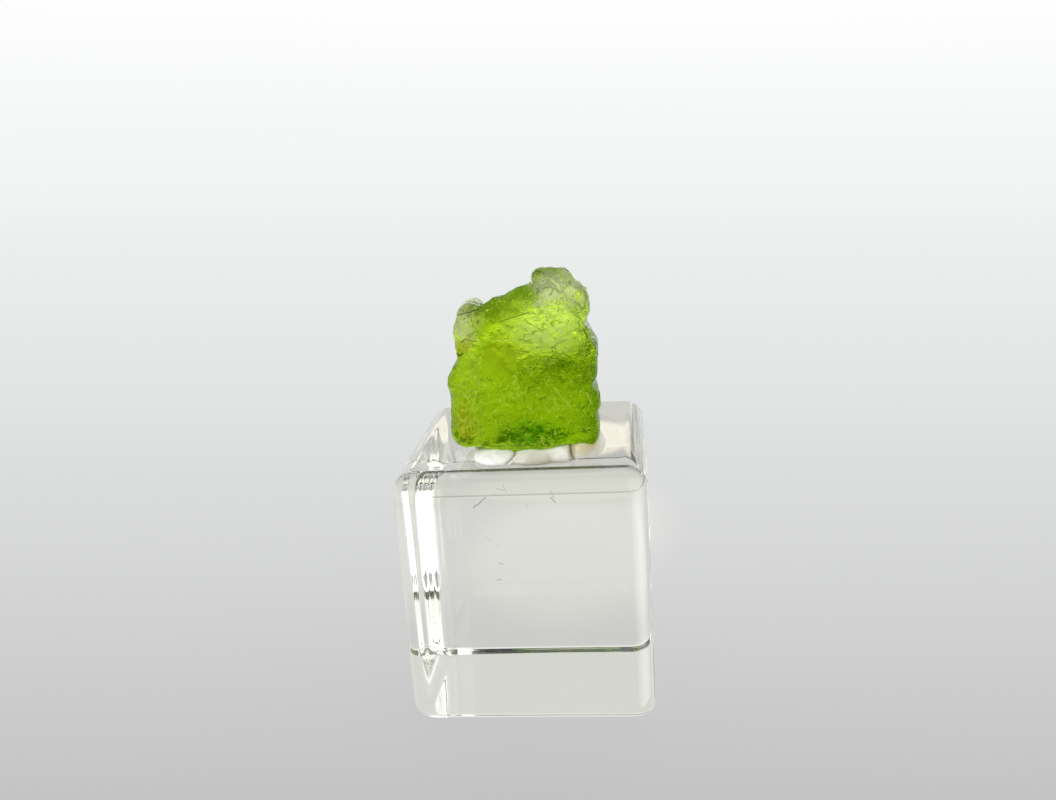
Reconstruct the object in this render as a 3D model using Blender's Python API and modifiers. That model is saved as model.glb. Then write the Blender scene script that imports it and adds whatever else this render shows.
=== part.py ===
"""A rough peridot crystal held by white tack on a clear display block.

Three solids in one rigid body: the crystal, one stone with its side growths, worn and etched
as a whole; the pressed pad of tack under it; and the cast block that it stands on.
Frame: +Z up, the front looks along -Y, and the origin is the middle of the block's foot.
"""

import math

import bmesh
import bpy
from mathutils import Matrix, Vector, noise

MM = 0.001

# Display block: a cast cube, a little taller than wide, with every edge rounded.
BLOCK_WIDTH = 25.4 * MM
BLOCK_DEPTH = 26.6 * MM
BLOCK_HEIGHT = 27.8 * MM
BLOCK_EDGE_RADIUS = 2.6 * MM
BLOCK_EDGE_STEPS = 6

# Crystal: its own zero, low in the middle of its front face, stands here.
STONE_AT = Vector((0.0, -8.6 * MM, BLOCK_HEIGHT + 0.6 * MM))
STONE_VOXEL = 0.3 * MM
STONE_WEAR_PASSES = 6
STONE_TRIANGLES = 6400

# Etching: broad swells, and round dimples that meet in low ridges like hammered metal.
SWELL_WIDTH = 5.0 * MM
SWELL_HEIGHT = 0.25 * MM
DIMPLE_WIDTH = 2.2 * MM
DIMPLE_DEPTH = 0.2 * MM

# Olivine's cell edges, in angstroms, set the angles between the faces of the stone,
# which stands with c upright, b across the front and a towards the viewer.
CELL_A = 4.756
CELL_B = 10.207
CELL_C = 5.980

# A face six degrees off (0 1 0), which draws the stone's right side in towards the back.
SIDE_TAPER = (-1, 20, 0)

# Tack: rolls kneaded into one pad, pressed thin under the stone and round its foot.
TACK_VOXEL = 0.28 * MM
TACK_WEAR_PASSES = 3
TACK_TRIANGLES = 1500
KNEAD_WIDTH = 2.4 * MM
KNEAD_HEIGHT = 0.16 * MM
CREASE_WIDTH = 3.1 * MM
CREASE_DEPTH = 0.16 * MM
TOUCH_GAP = 0.06 * MM


def clear_scene():
    for thing in list(bpy.data.objects):
        bpy.data.objects.remove(thing)


def new_collection(name, shown=True):
    made = bpy.data.collections.new(name)
    made.hide_render = not shown
    bpy.context.scene.collection.children.link(made)
    return made


def add_object(name, mesh, collection):
    thing = bpy.data.objects.new(name, mesh)
    collection.objects.link(thing)
    return thing


def material(name, colour, roughness, transmission=0.0, ior=1.5):
    made = bpy.data.materials.new(name)
    made.use_nodes = True
    surface = made.node_tree.nodes["Principled BSDF"]
    surface.inputs["Base Color"].default_value = (*colour, 1.0)
    surface.inputs["Roughness"].default_value = roughness
    surface.inputs["Metallic"].default_value = 0.0
    surface.inputs["Transmission Weight"].default_value = transmission
    surface.inputs["IOR"].default_value = ior
    return made


def box_mesh(name, low, high):
    """A box between two corners, with its size in the mesh and not in a scale."""
    shape = bmesh.new()
    size = Vector(high) - Vector(low)
    middle = (Vector(high) + Vector(low)) / 2
    bmesh.ops.create_cube(
        shape, size=1.0, matrix=Matrix.Translation(middle) @ Matrix.Diagonal((*size, 1.0))
    )
    mesh = bpy.data.meshes.new(name)
    shape.to_mesh(mesh)
    shape.free()
    return mesh


def hide_tool(thing):
    """A guide or cutter shows as wire and is never rendered."""
    thing.hide_render = True
    thing.display_type = "WIRE"


def baked(thing, name):
    """The thing's mesh with its modifiers applied."""
    graph = bpy.context.evaluated_depsgraph_get()
    mesh = bpy.data.meshes.new_from_object(thing.evaluated_get(graph))
    mesh.name = name
    return mesh


def count_down(thing, triangles):
    """A Decimate modifier that brings the thing's mesh to about this many triangles."""
    thing.data.calc_loop_triangles()
    fewer = thing.modifiers.new("fewer faces", "DECIMATE")
    fewer.ratio = min(1.0, triangles / len(thing.data.loop_triangles))
    fewer.use_collapse_triangulate = True


def union_of(name, pieces, voxel, passes, tools):
    """The overlapping pieces in one closed skin of even quads, with its edges worn round."""
    shape = bmesh.new()
    for piece in pieces:
        shape.from_mesh(baked(piece, piece.name))
    mesh = bpy.data.meshes.new(name)
    shape.to_mesh(mesh)
    shape.free()
    joined = add_object(name, mesh, tools)
    skin = joined.modifiers.new("even skin", "REMESH")
    skin.mode = "VOXEL"
    skin.voxel_size = voxel
    wear = joined.modifiers.new("wear", "SMOOTH")
    wear.factor = 0.5
    wear.iterations = passes
    hide_tool(joined)
    return joined


def face_direction(h, k, l):
    """Which way crystal face (h k l) looks: b is +X, a is -Y and c is +Z."""
    return Vector((k / CELL_B, -h / CELL_A, l / CELL_C)).normalized()


def growth(name, low, high, faces, edge, tools):
    """One growth of the stone: a block in millimetres, cut by crystal faces through given points."""
    mesh = box_mesh(name, Vector(low) * MM, Vector(high) * MM)
    shape = bmesh.new()
    shape.from_mesh(mesh)
    for indices, through in faces:
        everything = shape.verts[:] + shape.edges[:] + shape.faces[:]
        cut = bmesh.ops.bisect_plane(
            shape,
            geom=everything,
            plane_co=Vector(through) * MM,
            plane_no=face_direction(*indices),
            clear_outer=True,
        )
        rim = [item for item in cut["geom_cut"] if isinstance(item, bmesh.types.BMEdge)]
        bmesh.ops.holes_fill(shape, edges=rim)
    bmesh.ops.recalc_face_normals(shape, faces=shape.faces[:])
    shape.to_mesh(mesh)
    shape.free()
    block = add_object(name, mesh, tools)
    rounded = block.modifiers.new("worn edges", "BEVEL")
    rounded.width = edge * MM
    rounded.segments = 2
    hide_tool(block)
    return block


def stone_growths(tools):
    """The growths that make the stone, in millimetres from its own corner."""
    body = growth(
        "body",
        (-4.4, 0.0, -0.2),
        (7.75, 6.9, 18.0),
        [
            ((-1, -2, 4), (2.3, 0.6, 17.35)),
            ((-1, -4, 4), (-1.2, 0.6, 16.4)),
            ((2, -1, 2), (-1.0, 0.0, 13.9)),
            ((0, 2, 1), (7.75, 0.0, 12.1)),
            ((1, -1, 0), (-3.4, 0.0, 0.0)),
            ((1, 1, 0), (7.5, 0.0, 0.0)),
            (SIDE_TAPER, (7.75, 1.2, 0.0)),
            ((1, 0, -1), (0.0, 0.0, 0.7)),
            ((-1, 0, -4), (0.0, 4.0, -0.25)),
            ((0, 1, -2), (1.1, 0.0, -0.2)),
            ((0, -1, -3), (-2.4, 0.0, -0.2)),
            ((0, -1, -1), (-3.5, 0.0, 0.4)),
            ((0, 2, -1), (7.75, 0.0, 1.7)),
        ],
        0.5,
        tools,
    )
    back = growth(
        "back",
        (-6.2, 4.0, -0.1),
        (7.3, 9.4, 12.0),
        [
            ((-2, 0, 1), (0.0, 6.9, 9.6)),
            ((-2, 2, 0), (7.2, 8.0, 0.0)),
            ((-3, -2, 0), (-5.2, 6.9, 0.0)),
            ((-1, 0, -2), (0.0, 8.6, -0.1)),
        ],
        0.5,
        tools,
    )
    knob = growth(
        "knob",
        (2.3, 0.25, 11.0),
        (7.7, 3.7, 18.9),
        [
            ((-1, 0, 4), (0.0, 0.8, 18.75)),
            ((-1, 8, 4), (6.35, 0.6, 17.85)),
            ((0, -2, 1), (2.3, 0.0, 18.1)),
            ((0, 3, -1), (7.7, 0.0, 14.0)),
            ((1, 1, 1), (7.1, 0.25, 16.0)),
            ((1, 0, 1), (0.0, 0.25, 17.6)),
        ],
        0.55,
        tools,
    )
    lower_lobe = growth(
        "lower lobe",
        (-6.95, 0.5, 0.6),
        (-3.2, 6.9, 9.2),
        [
            ((1, -2, 0), (-6.3, 0.5, 0.0)),
            ((1, -1, 0), (-5.2, 0.5, 0.0)),
            ((-1, -2, 0), (-6.95, 6.4, 0.0)),
            ((0, -3, 1), (-6.95, 0.0, 7.9)),
            ((0, -3, -1), (-6.95, 0.0, 1.9)),
        ],
        0.6,
        tools,
    )
    upper_lobe = growth(
        "upper lobe",
        (-5.75, 0.6, 7.6),
        (-2.6, 6.9, 13.7),
        [],
        0.35,
        tools,
    )
    lobe_tip = growth(
        "lobe tip",
        (-5.5, 1.2, 12.0),
        (-2.95, 5.6, 15.3),
        [((0, -2, 1), (-5.5, 0.0, 14.4)), ((0, 2, 1), (-2.95, 0.0, 14.8))],
        0.5,
        tools,
    )
    left_scale = growth(
        "left scale",
        (-3.3, -0.2, 7.3),
        (0.3, 1.2, 10.9),
        [],
        0.15,
        tools,
    )
    right_scale = growth(
        "right scale",
        (3.0, -0.22, 1.6),
        (7.5, 1.2, 9.6),
        [((0, 1, 2), (4.0, 0.0, 9.2)), ((0, -2, 1), (3.0, 0.0, 6.5))],
        0.18,
        tools,
    )
    foot_scale = growth(
        "foot scale",
        (-2.6, -0.15, 1.1),
        (2.2, 1.2, 3.6),
        [((0, -1, 2), (0.0, 0.0, 3.3))],
        0.15,
        tools,
    )
    shoulder = growth(
        "shoulder",
        (5.5, 0.15, 7.4),
        (8.2, 6.4, 11.6),
        [
            ((0, 2, 1), (7.5, 0.0, 11.6)),
            (SIDE_TAPER, (8.2, 1.2, 0.0)),
            ((-1, 1, 0), (7.5, 6.4, 0.0)),
        ],
        0.6,
        tools,
    )
    waist = growth(
        "waist",
        (5.5, 0.1, 3.9),
        (8.4, 6.0, 6.4),
        [((1, 1, 0), (8.0, 0.1, 0.0)), (SIDE_TAPER, (8.4, 1.2, 0.0))],
        0.6,
        tools,
    )
    foot = growth(
        "right foot",
        (5.3, 0.1, 0.42),
        (8.25, 6.8, 3.4),
        [
            ((0, 2, -1), (8.25, 0.0, 1.1)),
            ((1, 1, 0), (7.9, 0.1, 0.0)),
            (SIDE_TAPER, (8.25, 1.2, 0.0)),
        ],
        0.5,
        tools,
    )
    return [
        body,
        back,
        knob,
        lower_lobe,
        upper_lobe,
        lobe_tip,
        left_scale,
        right_scale,
        foot_scale,
        shoulder,
        waist,
        foot,
    ]


def etch_depth(point):
    """How far etching moves a point of the skin: out on the swells, in at the dimples."""
    swell = noise.noise(point / SWELL_WIDTH) * SWELL_HEIGHT
    nearest, second = noise.voronoi(point / DIMPLE_WIDTH)[0][:2]
    dimple = max(0.0, 1.0 - nearest / max(second, 1e-6)) * DIMPLE_DEPTH
    return swell - dimple


def make_stone(collection, tools):
    """The crystal: its growths in one worn skin, etched, with few enough faces to store."""
    worn = union_of("worn growths", stone_growths(tools), STONE_VOXEL, STONE_WEAR_PASSES, tools)
    mesh = baked(worn, "peridot_crystal")
    moves = [vertex.normal * etch_depth(vertex.co) for vertex in mesh.vertices]
    for vertex, move in zip(mesh.vertices, moves):
        vertex.co += move
    stone = add_object("peridot_crystal", mesh, collection)
    stone.location = STONE_AT
    count_down(stone, STONE_TRIANGLES)
    stone.data.materials.append(
        material("peridot", (0.30, 0.52, 0.02), 0.2, transmission=0.9, ior=1.67)
    )
    return stone


def make_block(collection):
    """The clear block, standing on its foot at the origin."""
    half_width = BLOCK_WIDTH / 2
    half_depth = BLOCK_DEPTH / 2
    mesh = box_mesh(
        "display_block",
        (-half_width, -half_depth, 0.0),
        (half_width, half_depth, BLOCK_HEIGHT),
    )
    block = add_object("display_block", mesh, collection)
    rounded = block.modifiers.new("rounded edges", "BEVEL")
    rounded.width = BLOCK_EDGE_RADIUS
    rounded.segments = BLOCK_EDGE_STEPS
    mesh.shade_smooth()
    mesh.materials.append(
        material("clear acrylic", (0.95, 0.96, 0.94), 0.03, transmission=1.0, ior=1.49)
    )
    return block


def roll(name, centre, half_sizes, turn, tools):
    """One flattened roll of tack, in millimetres, turned about the upright."""
    shape = bmesh.new()
    place = (
        Matrix.Translation(Vector(centre) * MM)
        @ Matrix.Rotation(math.radians(turn), 4, "Z")
        @ Matrix.Diagonal((*(Vector(half_sizes) * MM), 1.0))
    )
    bmesh.ops.create_uvsphere(shape, u_segments=24, v_segments=12, radius=1.0, matrix=place)
    mesh = bpy.data.meshes.new(name)
    shape.to_mesh(mesh)
    shape.free()
    piece = add_object(name, mesh, tools)
    hide_tool(piece)
    return piece


def tack_rolls(tools):
    """The rolls that were kneaded into the pad, about the upright through the block's middle."""
    top = BLOCK_HEIGHT / MM
    return [
        roll("pad", (1.2, -4.3, top + 0.2), (6.5, 5.4, 1.0), 0.0, tools),
        roll("left roll", (-2.2, -8.0, top + 0.1), (2.7, 2.4, 1.0), -14.0, tools),
        roll("front roll", (1.6, -8.3, top + 0.05), (2.8, 2.2, 1.0), 8.0, tools),
        roll("front fold", (4.4, -7.9, top + 0.15), (2.3, 2.0, 1.15), 28.0, tools),
        roll("right roll", (6.5, -6.0, top + 0.4), (1.9, 3.3, 1.9), -14.0, tools),
        roll("back roll", (0.6, -0.6, top + 0.2), (4.6, 2.0, 1.2), 4.0, tools),
    ]


def kneaded_height(point):
    """How far kneading lifts or sinks a point of the tack: fingertip swells with soft creases."""
    lump = noise.noise(point / KNEAD_WIDTH)
    crease = 1.0 - abs(noise.noise(point / CREASE_WIDTH))
    return KNEAD_HEIGHT * lump - CREASE_DEPTH * crease**6


def make_tack(stone, collection, tools):
    """The tack: its rolls in one soft skin, flat on the block and hollowed by the stone."""
    kneaded = union_of("kneaded rolls", tack_rolls(tools), TACK_VOXEL, TACK_WEAR_PASSES, tools)
    mesh = baked(kneaded, "mineral_tack")
    moves = [vertex.normal * kneaded_height(vertex.co) for vertex in mesh.vertices]
    for vertex, move in zip(mesh.vertices, moves):
        vertex.co += move
    tack = add_object("mineral_tack", mesh, collection)
    count_down(tack, TACK_TRIANGLES)

    hollow = add_object("print of the stone", baked(stone, "print of the stone"), tools)
    hollow.location = stone.location
    grow = hollow.modifiers.new("gap", "DISPLACE")
    grow.strength = TOUCH_GAP
    grow.mid_level = 0.0
    hide_tool(hollow)

    below = add_object(
        "block below",
        box_mesh(
            "block below",
            (-BLOCK_WIDTH, -BLOCK_DEPTH, 0.0),
            (BLOCK_WIDTH, BLOCK_DEPTH, BLOCK_HEIGHT + TOUCH_GAP),
        ),
        tools,
    )
    hide_tool(below)
    for cutter in (hollow, below):
        cut = tack.modifiers.new("cut by " + cutter.name, "BOOLEAN")
        cut.operation = "DIFFERENCE"
        cut.object = cutter
    tack.data.shade_smooth()
    tack.data.materials.append(material("white tack", (0.84, 0.82, 0.76), 0.5))
    return tack


def main():
    clear_scene()
    collection = new_collection("peridot on display block")
    tools = new_collection("tools", shown=False)
    make_block(collection)
    stone = make_stone(collection, tools)
    make_tack(stone, collection, tools)


main()
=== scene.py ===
# %% [markdown]
# # A rough peridot on its clear block
# This lesson dresses a part that is already built: a peridot crystal, the white tack that holds it
# and the clear block below. The solids come packed as a fixed frame. They have the right size and
# outline, and a few thousand flat triangles. Here each gets the surface that the real one has:
# etched olivine, kneaded putty and cast acrylic.

# %% The frame
import math

import bmesh
import bpy
from mathutils import Matrix, Vector


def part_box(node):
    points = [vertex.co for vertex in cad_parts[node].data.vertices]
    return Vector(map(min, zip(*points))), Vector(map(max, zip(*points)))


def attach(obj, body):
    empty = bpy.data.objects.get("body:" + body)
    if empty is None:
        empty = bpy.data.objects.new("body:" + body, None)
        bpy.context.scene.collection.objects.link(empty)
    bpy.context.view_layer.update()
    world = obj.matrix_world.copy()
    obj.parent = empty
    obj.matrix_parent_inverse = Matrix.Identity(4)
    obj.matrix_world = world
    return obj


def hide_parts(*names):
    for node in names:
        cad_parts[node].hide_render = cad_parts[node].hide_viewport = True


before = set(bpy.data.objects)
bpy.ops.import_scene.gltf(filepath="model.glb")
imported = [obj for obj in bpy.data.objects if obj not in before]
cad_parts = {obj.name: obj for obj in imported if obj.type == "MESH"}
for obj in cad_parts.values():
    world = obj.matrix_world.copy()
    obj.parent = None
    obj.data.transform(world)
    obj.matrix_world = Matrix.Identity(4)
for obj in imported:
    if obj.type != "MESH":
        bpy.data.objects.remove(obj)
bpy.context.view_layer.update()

MM = 0.001
block_low, block_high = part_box("display_block")
stone_low, stone_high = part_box("peridot_crystal")
print("block", [round(side / MM, 2) for side in block_high - block_low], "mm")
print("stone", [round(side / MM, 2) for side in stone_high - stone_low], "mm")

# %% [markdown]
# ## Helpers
# Colours are read off the object as sRGB hex, but a shader works in linear light, so one function
# turns them. Another adds a node to any tree, shader or geometry, with its settings and its links,
# and hands back the output that the next node takes, which keeps each tree short enough to read
# from top to bottom. The others start a material, turn a bmesh into a mesh, and put an object in
# the scene.

# %% Helpers
def linear(hex_colour):
    """An sRGB hex colour such as "#7AA800" as linear red, green and blue with alpha 1."""
    channels = [int(hex_colour[i : i + 2], 16) / 255 for i in (1, 3, 5)]
    turned = [c / 12.92 if c <= 0.04045 else ((c + 0.055) / 1.055) ** 2.4 for c in channels]
    return (*turned, 1.0)


def feed(tree, node, inputs):
    """Gives a node's inputs their values: numbers, colours, or the outputs that feed them."""
    for name, value in inputs.items():
        if isinstance(value, bpy.types.NodeSocket):
            tree.links.new(value, node.inputs[name])
        else:
            node.inputs[name].default_value = value


def add_node(tree, kind, settings=None, inputs=None, output=None):
    """Adds a node and returns an output: the named one, or else the first that is in use."""
    made = tree.nodes.new(kind)
    for name, value in (settings or {}).items():
        setattr(made, name, value)
    feed(tree, made, inputs or {})
    if output:
        return made.outputs[output]
    return next((socket for socket in made.outputs if socket.enabled), None)


def new_material(name):
    """A new material, its tree, and the shader that makes its surface."""
    made = bpy.data.materials.new(name)
    made.use_nodes = True
    return made, made.node_tree, made.node_tree.nodes["Principled BSDF"]


def as_mesh(shape, name):
    """A mesh with the shape of a bmesh, which is used up."""
    mesh = bpy.data.meshes.new(name)
    shape.to_mesh(mesh)
    shape.free()
    return mesh


def add_object(name, content):
    """An object at the origin, as the frame wants it: its place is in its mesh."""
    made = bpy.data.objects.new(name, content)
    bpy.context.scene.collection.objects.link(made)
    return made


print("a peridot green in linear light:", [round(c, 3) for c in linear("#7AA800")])

# %% [markdown]
# ## The camera
# The photograph was taken from just above the stone, a little to its right, with a short lens close
# by: the block's uprights lean towards each other at the foot. The place, the turn and the lens were
# worked out from the block's edges. The camera rolls a little, because the block leans in the
# photograph.

# %% Camera
CAMERA_PLACE = Vector((11.66, -103.76, 61.26)) * MM
CAMERA_TURN = math.radians(6.24)
CAMERA_DOWN = math.radians(15.88)
CAMERA_ROLL = math.radians(-3.86)
SENSOR_WIDTH = 36.0
FOCAL_PIXELS, IMAGE_WIDTH = 1010, 1056
NEAREST, FARTHEST = 5 * MM, 100.0

lens = bpy.data.cameras.new("camera")
lens.sensor_width = SENSOR_WIDTH
lens.lens = SENSOR_WIDTH * FOCAL_PIXELS / IMAGE_WIDTH
lens.clip_start = NEAREST
lens.clip_end = FARTHEST
camera = add_object("camera", lens)
camera.matrix_world = (
    Matrix.Translation(CAMERA_PLACE)
    @ Matrix.Rotation(CAMERA_TURN, 4, "Z")
    @ Matrix.Rotation(math.pi / 2 - CAMERA_DOWN, 4, "X")
    @ Matrix.Rotation(CAMERA_ROLL, 4, "Z")
)
bpy.context.scene.camera = camera
print("lens", round(lens.lens, 2), "mm")

# %% [markdown]
# ## The light
# Clear things show what is round them, so their look starts with the room. Tracing rays from the
# camera through a rounded block told what stands where in the photograph. The block's thin dark
# lines look up and forward, to a dark place over the camera, with a border that leans a little.
# The white strip down its left corner looks the other way, to a softbox at the right. Behind is a
# white glow low down and a grey wall above it, which shows, mirrored, in the foot of the block.
# Overhead is a white ceiling. A world made of shader nodes holds all this, because each part of it
# is only a range of directions: how far a ray rises, and how far it looks back or forward.

# %% World
HORIZON_LEAN = 0.07
GLOW_LOW, GLOW_HIGH = linear("#F2F5F4"), linear("#FFFFFF")
GLOW_FROM, GLOW_TO = -0.05, 0.1
WALL, WALL_FROM, WALL_TO = linear("#DDDED9"), 0.12, 0.24
CEILING, CEILING_FROM, CEILING_TO = linear("#FFFFFF"), 0.86, 0.96
CEILING_STRENGTH = 1.3
FRONT_FROM, FRONT_TO = 0.04, -0.14
LOW_FRONT, LOW_FRONT_FROM, LOW_FRONT_TO = 0.6, 0.1, 0.16
DARK_SIDE, OPEN_SIDE = 0.02, 0.15
DARK_BORDER, BORDER_BLUR = 0.117, 0.008
SOFTBOX_SIDE = Vector((0.742, -0.52, 0.423))
SOFTBOX_FROM, SOFTBOX_TO = 0.83, 0.87
SOFTBOX_STRENGTH = 1.6

EASED = {"interpolation_type": "SMOOTHSTEP"}
LAYERS = {"data_type": "RGBA"}
UNDER, OVER = 6, 7
PLUS, MINUS = {"operation": "ADD"}, {"operation": "SUBTRACT"}
TIMES, LARGER = {"operation": "MULTIPLY"}, {"operation": "MAXIMUM"}
SCALED, ALONG = {"operation": "SCALE"}, {"operation": "DOT_PRODUCT"}


def between(start, end, before=0.0, after=1.0):
    """The inputs of a Map Range node that goes from one value to another between start and end."""
    return {"From Min": start, "From Max": end, "To Min": before, "To Max": after}


def room_colour(tree, direction, rise):
    """The glow at the horizon, the wall above it and the ceiling, each laid over the last."""
    leaning = add_node(
        tree, "ShaderNodeVectorMath", ALONG, {0: direction, 1: (HORIZON_LEAN, 0.0, 1.0)}
    )
    share = add_node(
        tree, "ShaderNodeMapRange", inputs={"Value": leaning, **between(GLOW_FROM, GLOW_TO)}
    )
    colour = add_node(
        tree, "ShaderNodeMix", LAYERS, {"Factor": share, UNDER: GLOW_LOW, OVER: GLOW_HIGH}
    )
    for shade, start, end in ((WALL, WALL_FROM, WALL_TO), (CEILING, CEILING_FROM, CEILING_TO)):
        share = add_node(tree, "ShaderNodeMapRange", EASED, {"Value": rise, **between(start, end)})
        colour = add_node(
            tree, "ShaderNodeMix", LAYERS, {"Factor": share, UNDER: colour, OVER: shade}
        )
    return colour


def room_strength(tree, direction, rise, backward):
    """How bright the room is: the front is dark above its low part, and darkest on one side of a
    leaning border. The softbox shines over all of it."""
    past_border = add_node(
        tree, "ShaderNodeVectorMath", ALONG, {0: direction, 1: (1.0, -DARK_BORDER, 0.0)}
    )
    high_front = add_node(
        tree,
        "ShaderNodeMapRange",
        EASED,
        {"Value": past_border, **between(-BORDER_BLUR, BORDER_BLUR, DARK_SIDE, OPEN_SIDE)},
    )
    front = add_node(
        tree,
        "ShaderNodeMapRange",
        EASED,
        {"Value": rise, **between(LOW_FRONT_FROM, LOW_FRONT_TO, LOW_FRONT, high_front)},
    )
    around = add_node(
        tree,
        "ShaderNodeMapRange",
        EASED,
        {"Value": backward, **between(FRONT_TO, FRONT_FROM, front)},
    )
    above = add_node(
        tree,
        "ShaderNodeMapRange",
        EASED,
        {"Value": rise, **between(CEILING_FROM, CEILING_TO, 1.0, CEILING_STRENGTH)},
    )
    room = add_node(tree, "ShaderNodeMath", TIMES, {0: above, 1: around})
    towards_softbox = add_node(tree, "ShaderNodeVectorMath", ALONG, {0: direction, 1: SOFTBOX_SIDE})
    softbox = add_node(
        tree,
        "ShaderNodeMapRange",
        EASED,
        {"Value": towards_softbox, **between(SOFTBOX_FROM, SOFTBOX_TO, 0.0, SOFTBOX_STRENGTH)},
    )
    return add_node(tree, "ShaderNodeMath", LARGER, {0: room, 1: softbox})


def studio_world():
    world = bpy.data.worlds.new("pale studio")
    world.use_nodes = True
    tree = world.node_tree
    tree.nodes.clear()
    direction = add_node(tree, "ShaderNodeTexCoord", output="Generated")
    rise = add_node(tree, "ShaderNodeSeparateXYZ", inputs={"Vector": direction}, output="Z")
    backward = rise.node.outputs["Y"]
    colour = room_colour(tree, direction, rise)
    strength = room_strength(tree, direction, rise, backward)
    lit = add_node(tree, "ShaderNodeBackground", inputs={"Color": colour, "Strength": strength})
    add_node(tree, "ShaderNodeOutputWorld", inputs={"Surface": lit})
    return world


bpy.context.scene.world = studio_world()
bpy.context.scene.view_settings.view_transform = "Standard"
print("world nodes:", len(bpy.context.scene.world.node_tree.nodes))

# %% [markdown]
# ## Four cards
# The world alone leaves the stone's pale growths and the tack too dull, and one strip of the block
# too dark. Small rectangular lights mend that. Each lights one piece, by light linking, so that
# none of them shows up as a bright patch in its neighbours. The back card is a strip of white
# behind the stone's top, the key card lights its skin from the front left, the tack card does the
# same for the putty, and the side card is a dim one close to the block's right side.

# %% Cards
SIDE_CARD_PLACE = Vector((20.8, -4, 15))
SIDE_CARD_FACES = Vector((-0.86, 0.33, 0.39))
SIDE_CARD_SPREAD = math.radians(80)

# Each card's place, the point that it faces and its size, in millimetres, and its radiance.
CARDS = {
    "side card": (SIDE_CARD_PLACE, SIDE_CARD_PLACE + SIDE_CARD_FACES, (36, 36), 0.6),
    "key card": ((-60, -90, 110), (1, -5, 36), (30, 30), 14.0),
    "tack card": ((-70, -70, 90), (1, -6, 28), (60, 60), 9.0),
    "back card": ((1, 10, 44.5), (1, 0, 44.5), (34, 11), 0.9),
}


def card(name, place, aim, size, radiance):
    """A rectangular light that faces a point, in millimetres. Its power follows from its radiance
    and its area."""
    place, aim = Vector(place) * MM, Vector(aim) * MM
    light = bpy.data.lights.new(name, "AREA")
    light.shape = "RECTANGLE"
    light.size, light.size_y = size[0] * MM, size[1] * MM
    light.energy = radiance * math.pi * light.size * light.size_y
    made = add_object(name, light)
    made.visible_camera = False
    turn = (aim - place).to_track_quat("-Z", "Y").to_matrix().to_4x4()
    made.matrix_world = Matrix.Translation(place) @ turn
    return made


cards = {name: card(name, *values) for name, values in CARDS.items()}
cards["side card"].data.spread = SIDE_CARD_SPREAD
print("cards:", {name: round(made.data.energy, 4) for name, made in cards.items()}, "W")

# %% [markdown]
# ## The floor
# A light table of opal acrylic, which grows lighter with distance. Its bands of shade fan out from a
# point on the table about a metre to the right, and since they follow the table's own X and Y, they
# stay put when the camera moves. The table keeps a hair's breadth off the block: where the acrylic
# meets air, its underside is a mirror for low rays, and that mirror is what makes the foot of the
# block bright.

# %% Floor
FLOOR_HALF = 8.0
FLOOR_GAP = 0.05 * MM
FAN_POINT = (0.952, -0.0185)
OWN_LIGHT, SKIN_SHARE = 0.91, 0.15
SHADES_BY_DEGREES = [
    (-8.0, "#8E8E8F"),
    (-3.5, "#A2A2A3"),
    (-1.2, "#B9B9BA"),
    (0.0, "#C7C7C8"),
    (1.4, "#D0D0D1"),
    (3.6, "#D9DADA"),
    (7.6, "#E1E4E3"),
    (14.5, "#E8EBEA"),
    (33.0, "#F0F3F2"),
    (56.0, "#F3F6F5"),
    (84.0, "#F5F8F7"),
    (111.0, "#F7FAF9"),
]

# Painted pools of light, where the clear block gathers light on the table, under itself and
# behind: how soft the glow's edge is, how many times brighter it is, its middle and its half sizes
# in millimetres.
GLOWS = [
    (0.12, (1.95, 1.86, 1.66), (2.5, 5.5, 0.0), (9.0, 6.6, 9.0)),
    (0.35, (1.12, 1.13, 1.08), (1.0, 40.0, 0.0), (14.0, 20.0, 9.0)),
]


def spot(tree, place, centre, half_sizes, soft=0.6):
    """1 inside an ellipsoid given in millimetres, falling smoothly to 0 past its edge."""
    away = add_node(tree, "ShaderNodeVectorMath", MINUS, {0: place, 1: Vector(centre) * MM})
    scaled = add_node(
        tree, "ShaderNodeVectorMath", {"operation": "DIVIDE"}, {0: away, 1: Vector(half_sizes) * MM}
    )
    distance = add_node(tree, "ShaderNodeVectorMath", {"operation": "LENGTH"}, {0: scaled})
    return add_node(
        tree, "ShaderNodeMapRange", EASED, {"Value": distance, **between(1.0 + soft, 1.0 - soft)}
    )


def fan_of_shades(tree, place):
    """The table's shades by the angle at which its fan point sees the place."""
    about_fan = add_node(
        tree,
        "ShaderNodeMapping",
        {"vector_type": "POINT"},
        {"Vector": place, "Location": (FAN_POINT[0], -FAN_POINT[1], 0.0), "Scale": (-1.0, 1.0, 1.0)},
    )
    turn = add_node(
        tree, "ShaderNodeTexGradient", {"gradient_type": "RADIAL"}, {"Vector": about_fan}, "Fac"
    )
    shades = add_node(tree, "ShaderNodeValToRGB", inputs={"Fac": turn})
    stops = shades.node.color_ramp.elements
    while len(stops) < len(SHADES_BY_DEGREES):
        stops.new(1.0)
    for stop, (degrees, shade) in zip(stops, SHADES_BY_DEGREES):
        stop.position = 0.5 + degrees / 360
        stop.color = linear(shade)
    return shades


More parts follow.
